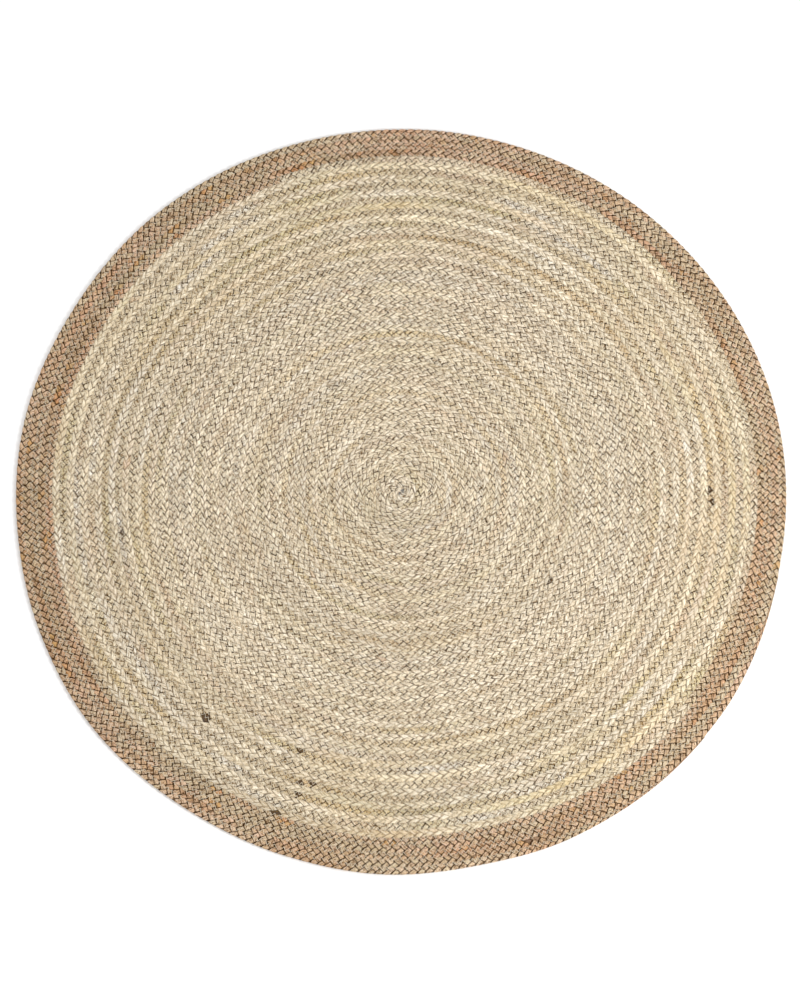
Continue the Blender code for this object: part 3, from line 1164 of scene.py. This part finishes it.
class JUTERUG_OT_natural_braids(bpy.types.Operator):
    """Wind the two natural braids of the field"""

    bl_idname = "juterug.natural_braids"
    bl_label = "Natural braids"

    def execute(self, context):
        sizes = context.scene.jute_rug_sizes
        colours = context.scene.jute_rug_colours
        palette = palette_of(colours)
        material = jute_finish("natural_jute_braid", colours, colours.hollow, **NATURAL_MARKS)
        courses = {
            "cream": Course(CREAM_FIRST_ROW, CREAM_START, CREAM_TO_BROWN),
            "tan": Course(TAN_FIRST_ROW, TAN_START, TAN_TO_BROWN),
        }
        for kind, course in courses.items():
            look = braid_look(sizes, palette, kind)
            halfway = float(course.angles_at(course.length_at(course.end) / 2.0))
            parts = {"inner": (course.start, halfway), "outer": (halfway, course.end)}
            for seed, (part, (start, end)) in enumerate(parts.items(), SHAPE_SEEDS[kind]):
                name = f"{kind}_braid_{part}"
                piece, length = braid_piece(name, course, start, end, look, seed)
                finish_braid(piece, material)
                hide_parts("field_coil")
        return {"FINISHED"}


class JUTERUG_OT_brown_braids(bpy.types.Operator):
    """Wind the two brown braids of the border"""

    bl_idname = "juterug.brown_braids"
    bl_label = "Brown braids"

    def execute(self, context):
        sizes = context.scene.jute_rug_sizes
        colours = context.scene.jute_rug_colours
        palette = palette_of(colours)
        material = jute_finish("brown_jute_braid", colours, colours.umber, **BROWN_MARKS)
        long_end = LONG_BRAID_END["angle"] + LONG_BRAID_END["arc"]
        short_end = SHORT_BRAID_END["angle"] + SHORT_BRAID_END["arc"]
        courses = {
            "long": Course(TAN_FIRST_ROW, TAN_TO_BROWN, long_end, LONG_BRAID_END),
            "short": Course(CREAM_FIRST_ROW, CREAM_TO_BROWN, short_end, SHORT_BRAID_END),
        }
        for kind, course in courses.items():
            look = braid_look(sizes, palette, kind)
            name = f"brown_braid_{kind}"
            piece, length = braid_piece(name, course, course.start, course.end, look, SHAPE_SEEDS[kind])
            stitching = ("border_stitching",) if kind == "long" else ()
            finish_braid(piece, material)
            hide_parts("border_coil")
        return {"FINISHED"}


class JUTERUG_OT_stitching(bpy.types.Operator):
    """Sew zigzag threads over the seams"""

    bl_idname = "juterug.stitching"
    bl_label = "Stitching"

    def execute(self, context):
        sizes = context.scene.jute_rug_sizes
        colours = context.scene.jute_rug_colours
        material = thread_finish("cotton_thread", colours.thread)
        long_end = LONG_BRAID_END["angle"] + LONG_BRAID_END["arc"] * SEWN_SHARE
        short_end = SHORT_BRAID_END["angle"] + SHORT_BRAID_END["arc"] * SEWN_SHARE - 360.0
        cream_side = Course(CREAM_FIRST_ROW + 0.5, TURN_START, long_end)
        tan_side = Course(TAN_FIRST_ROW + 0.5, TURN_START - 180.0, short_end)
        tan_change = CREAM_TO_BROWN - 360.0
        seams = {
            "field_stitching": (
                (cream_side, TURN_START + 20.0, TAN_TO_BROWN, 1.0, 401),
                (tan_side, TURN_START - 160.0, tan_change, -1.0, 402),
            ),
            "border_stitching": (
                (cream_side, TAN_TO_BROWN, long_end, 1.0, 403),
                (tan_side, tan_change, short_end, -1.0, 404),
            ),
        }
        for name, sewn in seams.items():
            piece = stitching_piece(name, sewn, sizes)
            piece.data.materials.append(material)
            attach(piece, "root")
        return {"FINISHED"}


CAMERA_ELEVATION = 74.75
CAMERA_DISTANCE = 7.5
CAMERA_AIM = Vector((-0.0023, -0.0139, 0.0))
CAMERA_LENS = 138.8
FAR_LIMIT = 50.0
FLOOR_SIZE = 30.0
LIGHT_PLACE = Vector((2.2, -1.3, 2.6))
LIGHT_SIZE = 1.2
LIGHT_POWER = 62.0
STUDIO_STRENGTH = 0.95


def aim_at(thing, target):
    """Turn a light or camera towards a point."""
    thing.rotation_euler = (target - thing.location).to_track_quat("-Z", "Y").to_euler()


def add_camera():
    """Place the camera at the photo's viewing angle."""
    data = bpy.data.cameras.new("camera")
    data.lens = CAMERA_LENS
    data.clip_end = FAR_LIMIT
    camera = bpy.data.objects.new("camera", data)
    bpy.context.scene.collection.objects.link(camera)
    slope = math.radians(CAMERA_ELEVATION)
    camera.location = CAMERA_AIM + CAMERA_DISTANCE * Vector((0.0, -math.cos(slope), math.sin(slope)))
    aim_at(camera, CAMERA_AIM)
    bpy.context.scene.camera = camera


def add_light(name, location, size, power):
    """Add a soft square light aimed at the rug."""
    data = bpy.data.lights.new(name, "AREA")
    data.size = size
    data.energy = power
    light = bpy.data.objects.new(name, data)
    light.location = location
    light.visible_camera = False
    bpy.context.scene.collection.objects.link(light)
    aim_at(light, Vector())


def add_floor(colour):
    """Lay a plain pale floor."""
    bpy.ops.object.select_all(action="DESELECT")
    bpy.ops.mesh.primitive_plane_add(size=FLOOR_SIZE, location=(0.0, 0.0, 0.0))
    floor = bpy.context.active_object
    floor.name = "floor"
    floor.data.name = "floor"
    floor.data.materials.append(floor_finish(colour))


class JUTERUG_OT_stage(bpy.types.Operator):
    """Set up the camera, floor and light"""

    bl_idname = "juterug.stage"
    bl_label = "Stage"

    def execute(self, context):
        add_camera()
        add_floor(context.scene.jute_rug_colours.floor)
        add_light("key_light", LIGHT_PLACE, LIGHT_SIZE, LIGHT_POWER)
        world = bpy.data.worlds.new("studio")
        world.use_nodes = True
        background = world.node_tree.nodes["Background"]
        background.inputs["Color"].default_value = (1.0, 1.0, 1.0, 1.0)
        background.inputs["Strength"].default_value = STUDIO_STRENGTH
        context.scene.world = world
        context.scene.view_settings.view_transform = "Standard"
        return {"FINISHED"}


class JUTERUG_PT_panel(bpy.types.Panel):
    """Round jute rug"""

    bl_idname = "JUTERUG_PT_panel"
    bl_label = "Round jute rug"
    bl_space_type = "VIEW_3D"
    bl_region_type = "UI"
    bl_category = "Jute Rug"

    def draw(self, context):
        for group in (context.scene.jute_rug_sizes, context.scene.jute_rug_colours):
            box = self.layout.box()
            for name in group.__annotations__:
                box.prop(group, name)
        for operator in OPERATORS:
            self.layout.operator(operator.bl_idname)


OPERATORS = (
    JUTERUG_OT_stage,
    JUTERUG_OT_stitching,
    JUTERUG_OT_natural_braids,
    JUTERUG_OT_brown_braids,
)
CLASSES = (RugSizes, RugColours, *OPERATORS, JUTERUG_PT_panel)


def register():
    """Register the classes and the scene's settings."""
    for cls in CLASSES:
        bpy.utils.register_class(cls)
    bpy.types.Scene.jute_rug_sizes = bpy.props.PointerProperty(type=RugSizes)
    bpy.types.Scene.jute_rug_colours = bpy.props.PointerProperty(type=RugColours)


def unregister():
    """Take the classes and the scene's settings away again."""
    del bpy.types.Scene.jute_rug_colours
    del bpy.types.Scene.jute_rug_sizes
    for cls in reversed(CLASSES):
        bpy.utils.unregister_class(cls)


def main():
    """Make the whole rug and its stage."""
    register()
    bpy.ops.juterug.stage()
    bpy.ops.juterug.stitching()
    bpy.ops.juterug.natural_braids()
    bpy.ops.juterug.brown_braids()


if __name__ == "__main__":
    main()
